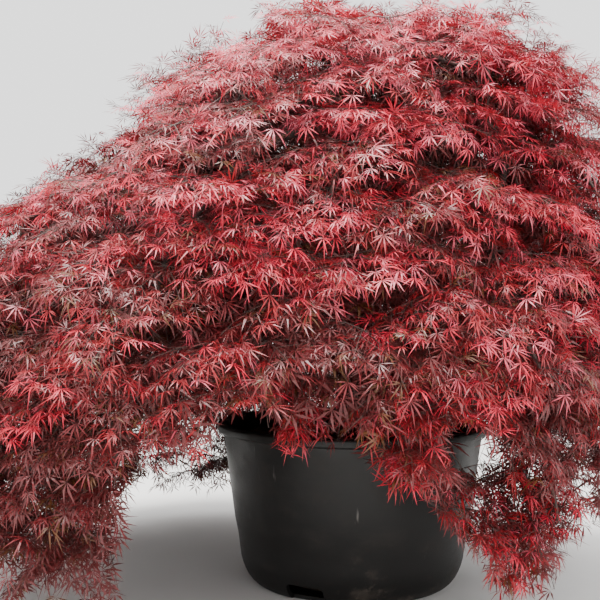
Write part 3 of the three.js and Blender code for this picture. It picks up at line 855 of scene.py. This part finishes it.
class Fan:
    """One flat, drooping spread of ribs. It lies level on the crown's side and flat on its top."""

    def __init__(self, layer, spot, down, out, place):
        self.layer = layer
        self.place = place
        self.out = out
        self.steep = min(1.0, 2.2 * draw.uniform(0.6, 1.3) * (1 - abs(out[2])))
        if layer == "inner":
            self.steep *= 0.3
        level = unit(np.array([spot[0], spot[1], 0]) + 1e-6)
        self.ahead = unit((1 - self.steep) * down + self.steep * (level - draw.uniform(0.2, 0.6) * UP))
        normal = 0.85 * UP + 0.35 * out + draw.normal(0, 0.22, 3)
        self.normal = unit(normal - self.ahead * (self.ahead @ normal))
        self.side = np.cross(self.normal, self.ahead)
        self.length = FAN_LENGTH[layer]
        self.hub = spot - 0.74 * self.steep * self.length * self.ahead - 0.02 * out
        self.spot = spot


def spread_fans(layer, spacing, depth, tries, low, high):
    """Fans spread evenly over the crown, closer one above another on its sides than on its top."""
    found = []
    kept = np.zeros((0, 3))
    trails = of_tier("trail")
    for turn in range(tries):
        angle = draw.uniform(0, math.tau)
        place = draw.uniform(low, high)
        if turn % 4 == 0:
            angle = trails[turn // 4 % len(trails)].angle + draw.uniform(-1.1, 1.1) * TRAIL_WIDTH
            place = draw.uniform(0.9, high)
        run, length = crown_outline(angle)[1:]
        trailing = min(angle_gap(angle, mass.angle) for mass in trails)
        hem = HEM_END if math.sin(angle) < 0.2 else FAR_HEM_END
        over_hem = (place - hem) / (TRAIL_END - hem)
        if place > run[-1] / length - 0.02 or (over_hem > 0 and trailing > TRAIL_WIDTH * (1.15 - 0.6 * over_hem)):
            continue
        down, out = crown_frame(angle, max(place, 0.012))
        spot = crown_point(angle, place) - (depth + draw.uniform(-0.02, 0.035)) * out
        spot = settled(spot, FAN_MARGIN, out)
        crowd = 1 + FAN_CROWDING * (1 - abs(out[2]))
        gaps = np.linalg.norm((kept - spot) * [1, 1, crowd], axis=1)
        if spot[2] < LOWEST_SPOT or (len(gaps) and gaps.min() < spacing):
            continue
        kept = np.concatenate([kept, spot[None]])
        found.append(Fan(layer, spot, down, out, place))
    return found


fans = spread_fans("outer", FAN_SPACING, -0.055, OUTER_TRIES, 0.0, TRAIL_END)
for spacing, depth in INNER_LAYERS:
    fans += spread_fans("inner", spacing, depth, INNER_TRIES, 0.05, 1.36)
fans = [fan for fan in fans if not in_the_open(fan.spot)]

# Wood is kept as sheaves of equal polylines, (curves, stations, 3), each with one radius a station.
wood = {"twigs": [], "shoots": []}
carriers = {}
for mass in masses:
    end_way = mass.bough.way(1)
    foot = mass.entry + end_way * JOIN_GAP
    reach = np.linalg.norm(mass.end - foot)
    stem = bezier_line(foot, foot + 0.3 * reach * end_way, mass.end - 0.35 * reach * mass.down, mass.end)
    run = settled(np.array([stem.point(s) for s in np.linspace(0, 0.86, 10)]), WOOD_MARGIN)
    run = run[:max(2, 10 - int(in_the_open(run).sum()))]
    wood["twigs"].append((run[None], np.linspace(BOUGHS[mass.tier][1] * 0.96, STEM_TIP, len(run))))
    late = settled(np.array([mass.bough.point(s) for s in np.linspace(0.55, 1, 9)]), WOOD_MARGIN)
    carriers[mass.name] = [np.concatenate([late, run])]

# Each fan's hub is carried by the nearest wood of its own mass, nearest fans first.
centres = np.array([mass.centre for mass in masses])
for fan in fans:
    fan.owner = masses[int(np.argmin(np.linalg.norm(centres - fan.spot, axis=1)))].name
    fan.far = np.min(np.linalg.norm(carriers[fan.owner][0] - fan.hub, axis=1))
fans.sort(key=lambda fan: fan.far)
for fan in fans:
    carrier = np.concatenate(carriers[fan.owner])
    root = carrier[np.argmin(np.linalg.norm(carrier - fan.hub, axis=1))]
    gap = np.linalg.norm(fan.hub - root)
    bend = 0.5 * (root + fan.hub) - 0.14 * gap * fan.out + 0.08 * gap * UP
    curve = quadratic(root[None], bend[None], fan.hub[None], np.linspace(0, 1, 6))
    fan.bare = in_the_open(curve[0]).sum() > 1
    if not fan.bare:
        wood["twigs"].append((curve, np.linspace(*TWIG_RADII, 6)))
        carriers[fan.owner].append(curve[0][2:])
fans = [fan for fan in fans if not fan.bare]

# Ribs leave the hub on all sides on top of the crown, and outwards on its sides. They arch and droop.
# Their tone says how bright their leaves are, a random spread with painted light and shade over it: painted light
# most on high outer fans, painted shade inside, at the hem and low left.
ribs = {key: [] for key in ("start", "bend", "end", "normal", "tone", "length", "leaf")}


def keep_rib(*values):
    for key, value in zip(ribs, values):
        ribs[key].append(value)


for fan in fans:
    outer = fan.layer == "outer"
    half = math.radians(180 - 104 * fan.steep)
    count = (8 if fan.steep < 0.25 else 5) if outer else 6
    swings = np.linspace(-half, half, count, endpoint=fan.steep > 0.12) + draw.normal(0, 0.12, count)
    x, _, z = fan.spot
    # Painted light and shade in the fan's tone: lighter higher up, painted shade on inner fans, on low fans and on
    # the low left side.
    tone = draw.normal(0, 0.4) + (OUTER_PAINTED_LIGHT if outer else INNER_PAINTED_SHADE) + 0.9 * (z - 1.1)
    tone -= 1.6 * max(0, 0.75 - z)
    tone -= 0.8 * max(0, min(1, -0.9 - 1.4 * x)) * max(0, min(1, 3.9 - 3.2 * z))
    leaf = 1.0 if outer or seen_at(fan.spot)[1] > 380 else 1.35
    for swing in swings:
        ahead = math.cos(swing) * fan.ahead + math.sin(swing) * fan.side
        length = fan.length * draw.uniform(0.74, 1.1) * (0.80 + 0.20 * math.cos(swing))
        lift = draw.uniform(0.0, 0.20)
        rise = 0.5 if outer and fan.place < 0.62 and draw.random() < 0.09 else 0.0
        bend = fan.hub + length * (0.55 * ahead + lift * fan.normal)
        droop = draw.uniform(0.0, 0.2) + 0.1 * (1.5 - z)
        end = fan.hub + length * ((0.97 - 0.4 * rise) * ahead + (rise - droop) * UP)
        if LOWEST_RIB <= end[2] <= HIGHEST_RIB:
            keep_rib(fan.hub, bend, end, fan.normal, tone + draw.normal(0, 0.3), length, leaf)
hubs = np.array([fan.hub for fan in fans])
for across, below, back in SPRIGS:
    ahead = back - EYE[1]
    end = np.array([EYE[0] + (across - 300) / FOCAL * ahead, back, EYE[2] + (300 - below) / FOCAL * ahead])
    far = np.linalg.norm((hubs - end) * [1.7, 1, 1], axis=1) + 9 * ((hubs[:, 2] < end[2] + 0.05) & (below > 300))
    start = hubs[np.argmin(far)]
    length = np.linalg.norm(end - start)
    keep_rib(start, 0.5 * (start + end) + 0.12 * length * UP, end, UP, SPRIG_TONE, 0.7 * length, 0.95)
ribs = {key: np.array(value) for key, value in ribs.items()}
open_rib = in_the_open(ribs["end"]) | in_the_open(0.5 * (ribs["bend"] + ribs["end"]))
ribs = {key: value[~open_rib] for key, value in ribs.items()}
rib_curve = (ribs["start"], ribs["bend"], ribs["end"])
wood["twigs"].append((quadratic(*rib_curve, np.linspace(0, 1, 4)), np.linspace(*RIB_RADII, 4)))

# Side shoots leave each rib in pairs, and the outer ones are shorter.
shoot_sets = []
for at, size in SHOOTS:
    starts, bends, ends, shoot_tones = [], [], [], []
    for hand in (-1, 1):
        root = quadratic(*rib_curve, [at])[:, 0]
        way = quadratic_way(*rib_curve, [at])[:, 0]
        side = hand * unit(np.cross(way, ribs["normal"]))
        length = (size * ribs["length"] * draw.uniform(0.75, 1.15, len(root)))[:, None]
        ahead = unit(0.66 * side + 0.55 * way + 0.10 * ribs["normal"] + draw.normal(0, 0.1, root.shape))
        starts.append(root)
        ends.append(root + length * (0.97 * ahead - 0.14 * UP))
        bends.append(0.5 * (root + ends[-1]) + 0.01 * length * UP)
        shoot_tones.append(ribs["tone"] + draw.normal(0, 0.35, len(root)) - 0.2 + 0.3 * at)
    kept = ~in_the_open(np.concatenate(ends))
    shoots = tuple(np.concatenate(points)[kept] for points in (starts, bends, ends))
    wood["shoots"].append((quadratic(*shoots, (0, 1)), SHOOT_RADII))
    normals, leaf_sizes = (np.concatenate([ribs[key]] * 2)[kept] for key in ("normal", "leaf"))
    shoot_sets.append((shoots, normals, np.concatenate(shoot_tones)[kept], leaf_sizes))

twig_skin = Finish("young_maple_twigs")
flush = twig_skin.grain(40, 3)
twig_skin.set(
    Base_Color=twig_skin.blend(flush.between(0.35, 0.65), (0.045, 0.028, 0.024), (0.105, 0.05, 0.042)),
    Roughness=0.6 + 0.2 * flush,
)

twig_tree = Tree("twig_skins", "Thickness")
as_curve = twig_tree.add("GeometryNodeMeshToCurve", Mesh=twig_tree.start.outputs["Geometry"])
ring = twig_tree.add("GeometryNodeCurvePrimitiveCircle", Resolution=3, Radius=1.0)
skin = twig_tree.add(
    "GeometryNodeCurveToMesh", Curve=as_curve.outputs["Curve"], Profile_Curve=ring.outputs["Curve"],
    Scale=twig_tree.scaled("thickness"), Fill_Caps=True)
twig_tree.end(skin.outputs["Mesh"], twig_skin.material)
mass_nodes = [f"foliage_{mass.name}" for mass in masses]
for kind, sheaves in wood.items():
    points = np.concatenate([curves.reshape(-1, 3) for curves, _ in sheaves])
    radii = np.concatenate([np.tile(thickness, len(curves)) for curves, thickness in sheaves])
    lasts = np.cumsum(np.concatenate([np.full(len(curves), curves.shape[1]) for curves, _ in sheaves])) - 1
    firsts = np.setdiff1d(np.arange(len(points)), lasts)
    lines = points_mesh(f"{kind}_lines", points)
    lines.edges.add(len(firsts))
    lines.edges.foreach_set("vertices", np.stack([firsts, firsts + 1], 1).astype(np.int32).ravel())
    attribute(lines, "thickness", "FLOAT", radii.astype(np.float32))
    piece = twig_tree.grown(kind, lines, 1.0)
    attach(piece, "root")
    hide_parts(*mass_nodes)

# LEAVES. Finely cut, seven-lobed and thin, in opposite pairs along the ribs
# and shoots with one at each tip. They hang from thin stalks, lobes downward.
LEAF_LENGTH = 0.061
STALK = 0.24
STALK_WIDTH = 0.020
LOBES = [(0, 1.0), (26, 0.96), (54, 0.82), (90, 0.56)]
INNER_LOBES = [(0, 1.0), (32, 0.94), (72, 0.7)]
LOBE_WIDTH = 0.066
INNER_WIDTH = 0.100
DROOPS = [0.10, 0.16, 0.22, 0.28, 0.34, 0.42, 0.50, 0.58]
INNER_DROOP = 0.4
LEAF_FORMS = len(DROOPS)
INNER_FORMS = 3
RIB_PAIRS = (0.14, 0.40, 0.62, 0.82)
SHOOT_PAIRS = (0.58,)
RIB_TIP = 1.08
SHOOT_TIP = 1.04
LOWEST_LEAF = 0.055
HIGHEST_LEAF = 1.995
POT_CLEARANCE = 0.02
INNER_BELOW = -0.9
# Share of leaves that get the rose tone, a painted sheen, by height: more painted sheen high on the crown.
ROSE_SHEEN_SHARES = ([0.6, 1.2, 1.8], [0.08, 0.26, 0.55])
PIECE_LIMIT = 190_000
# Lit and shaded copies of the leaf red: bright is painted light, the rose tone a painted sheen, burgundy and the
# wine tone painted shade; crimson lies between, and bronze is a leaf colour of its own.
TONES = {
    "bright": (0.52, 0.016, 0.040),
    "crimson": (0.27, 0.010, 0.015),
    "rose": (0.42, 0.050, 0.078),
    "burgundy": (0.150, 0.011, 0.014),
    "wine": (0.108, 0.018, 0.018),
    "bronze": (0.105, 0.038, 0.012),
}


def leaf_mesh(number, lobes, width, droop):
    """A leaf of narrow folded lobes on a stalk. Its stalk's root is at the origin and it points along +Y."""
    vary = np.random.default_rng(300 + number)
    points = [(-STALK_WIDTH / 2, 0, 0), (STALK_WIDTH / 2, 0, 0), (0, STALK + 0.03, 0.0)]
    faces = [(0, 1, 2)]
    for degrees, reach in lobes:
        for hand in ((1,) if degrees == 0 else (-1, 1)):
            swing = math.radians(degrees * hand + vary.normal(0, 7))
            long = reach * vary.uniform(0.72, 1.08)
            ahead = np.array([math.sin(swing), math.cos(swing)])
            side = np.array([ahead[1], -ahead[0]])
            half = 0.5 * width * (0.55 + 0.45 * reach)
            fall = droop * vary.uniform(0.7, 1.3)
            curl = vary.normal(0, 0.07)
            base = len(points)
            for share, aside in ((0.02, 0), (0.46, -half), (0.42, half), (1, 0)):
                x, y = ahead * share * long * (1 - 0.16 * fall * share) + side * (aside + curl * share ** 2)
                points.append((x, STALK + y, -fall * (share * long) ** 2))
            faces += [(base, base + 2, base + 1), (base + 1, base + 2, base + 3)]
    return mesh_from(f"leaf_{number}", points, faces, smooth=False)


leaf_meshes = [leaf_mesh(n, LOBES, LOBE_WIDTH, droop) for n, droop in enumerate(DROOPS)]
leaf_meshes += [leaf_mesh(n + LEAF_FORMS, INNER_LOBES, INNER_WIDTH, INNER_DROOP) for n in range(INNER_FORMS)]
leaf_shapes = shape_set("leaf", leaf_meshes)
leaf_faces = len(leaf_meshes[0].polygons)

hung = []


def hang_leaves(curve, normal, tone, size, pairs, tip_size):
    """Leaves in opposite pairs at the given shares of many curves, and one at each tip."""
    for share in (*pairs, 1.0):
        node = quadratic(*curve, [share])[:, 0]
        way = quadratic_way(*curve, [share])[:, 0]
        side = unit(np.cross(way, normal))
        for hand in ((0,) if share == 1.0 else (-1, 1)):
            shake = draw.normal(0, 0.26, node.shape)
            ahead = unit(0.60 * way * [1, 1, 0.6] + 0.70 * hand * side - 0.10 * UP + shake)
            back = 0.6 * normal + 0.5 * UP + 0.12 * hand * side + draw.normal(0, 0.24, node.shape)
            back = unit(back - ahead * np.sum(back * ahead, 1, keepdims=True))
            leaf_tone = tone + 0.6 * (share - 0.5) + draw.normal(0, 0.38, len(node))
            leaf_size = size * draw.uniform(0.74, 1.12, len(node)) * (tip_size if share == 1.0 else 1.0)
            hung.append((node, ahead, back, leaf_tone, leaf_size))


hang_leaves(rib_curve, ribs["normal"], ribs["tone"], ribs["leaf"], RIB_PAIRS, RIB_TIP)
for shoot_set in shoot_sets:
    hang_leaves(*shoot_set, SHOOT_PAIRS, SHOOT_TIP)
roots, aheads, backs, tones, sizes = map(np.concatenate, zip(*hung))

# Leaves stay off the ground and off the pot, and out of the open places.
tips = roots + aheads * (sizes * LEAF_LENGTH * (1 + STALK))[:, None]
low = np.minimum(roots[:, 2], tips[:, 2])
high = np.maximum(roots[:, 2], tips[:, 2])
near_pot = (np.hypot(tips[:, 0], tips[:, 1]) < POT_LIP + POT_CLEARANCE) & (low < POT_HEIGHT + POT_CLEARANCE)
kept = (low > LOWEST_LEAF) & (high < HIGHEST_LEAF) & ~near_pot & ~in_the_open(roots) & ~in_the_open(tips)
roots, aheads, backs, tones, sizes = (values[kept] for values in (roots, aheads, backs, tones, sizes))

# Turned so that +Y points ahead and +Z out of the leaf's upper face.
rights = np.cross(aheads, backs)
turns = np.stack([
    np.arctan2(aheads[:, 2], backs[:, 2]),
    -np.arcsin(np.clip(rights[:, 2], -1, 1)),
    np.arctan2(rights[:, 1], rights[:, 0]),
], 1)
flat = draw.random(len(roots)) < np.interp(roots[:, 2], [0.8, 1.6], [0.2, 0.85])
forms = draw.integers(0, LEAF_FORMS // 2, len(roots)) + np.where(flat, 0, LEAF_FORMS // 2)
inner = tones < INNER_BELOW
forms[inner] = LEAF_FORMS + forms[inner] % INNER_FORMS

# Tones are dealt out by spray as painted light and shade: brightest at the tips of outer sprays, painted shade
# darkest deep inside.
deal = draw.random(len(roots))
group = np.full(len(roots), "burgundy", dtype=object)
group[tones > 0.15] = "crimson"
group[tones > 0.85] = "bright"
# Painted sheen: the rose tone is dealt more often the higher the leaf hangs.
group[(tones > 0.1) & (deal < np.interp(roots[:, 2], *ROSE_SHEEN_SHARES))] = "rose"
group[tones < -0.65] = "wine"
group[(tones < 0.3) & (deal > 0.93)] = "bronze"

for tone, colour in TONES.items():
    leaf_skin = Finish(f"{tone}_leaf")
    leaf_skin.set(Base_Color=colour, Roughness=0.42, Specular_IOR_Level=0.4)
    chosen = np.flatnonzero(group == tone)
    chosen = chosen[np.argsort(roots[chosen, 0], kind="stable")]
    parts = max(1, math.ceil(len(chosen) * leaf_faces / PIECE_LIMIT))
    for number, part in enumerate(np.array_split(chosen, parts)):
        leaves = scattered(
            f"leaves_{tone}_{number + 1}", leaf_shapes, leaf_skin.material, LEAF_LENGTH,
            roots[part], turns[part], sizes[part], forms[part])
        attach(leaves, "root")
        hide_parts(*mass_nodes)

# STAGE. A plain pale floor, soft studio light and the camera at eye level.
FLOOR_HALF = 14
CAMERA_LENS = 59.4
CAMERA_ROLL = math.radians(-0.3)
DAYLIGHT = 2.0

floor_skin = Finish("pale_floor")
mottle = floor_skin.grain(3, 3)
floor_skin.set(Base_Color=floor_skin.blend(mottle, (0.74, 0.73, 0.71), (0.80, 0.79, 0.77)), Roughness=0.9)
floor_corners = [(x * FLOOR_HALF, y * FLOOR_HALF, 0) for x, y in ((-1, -1), (1, -1), (1, 1), (-1, 1))]
floor = new_object("floor", mesh_from("floor", floor_corners, [(0, 1, 2, 3)], smooth=False), floor_skin.material)
floor.location.z = -0.001

world = bpy.data.worlds.new("soft_daylight")
bpy.context.scene.world = world
world.use_nodes = True
sky = world.node_tree.nodes["Background"]
sky.inputs["Color"].default_value = (1.0, 1.0, 1.0, 1)
sky.inputs["Strength"].default_value = DAYLIGHT


def soft_light(name, place, aim, width, power, colour):
    lamp = bpy.data.lights.new(name, "AREA")
    lamp.shape = "DISK"
    lamp.size = width
    lamp.energy = power
    lamp.color = colour
    holder = new_object(name, lamp)
    holder.location = place
    holder.rotation_euler = (Vector(aim) - Vector(place)).to_track_quat("-Z", "Y").to_euler()


soft_light("high_softbox", (-0.6, -0.7, 6.0), (0, 0, 1.0), 3.0, 1050, (1.0, 0.98, 0.95))
soft_light("side_softbox", (4.2, -2.2, 3.0), (0, 0, 0.9), 2.4, 110, (0.95, 0.97, 1.0))

camera_data = bpy.data.cameras.new("camera")
camera_data.sensor_width = 36
camera_data.lens = CAMERA_LENS
camera = new_object("camera", camera_data)
camera.location = EYE
camera.rotation_euler = (math.radians(90), CAMERA_ROLL, 0)
bpy.context.scene.camera = camera
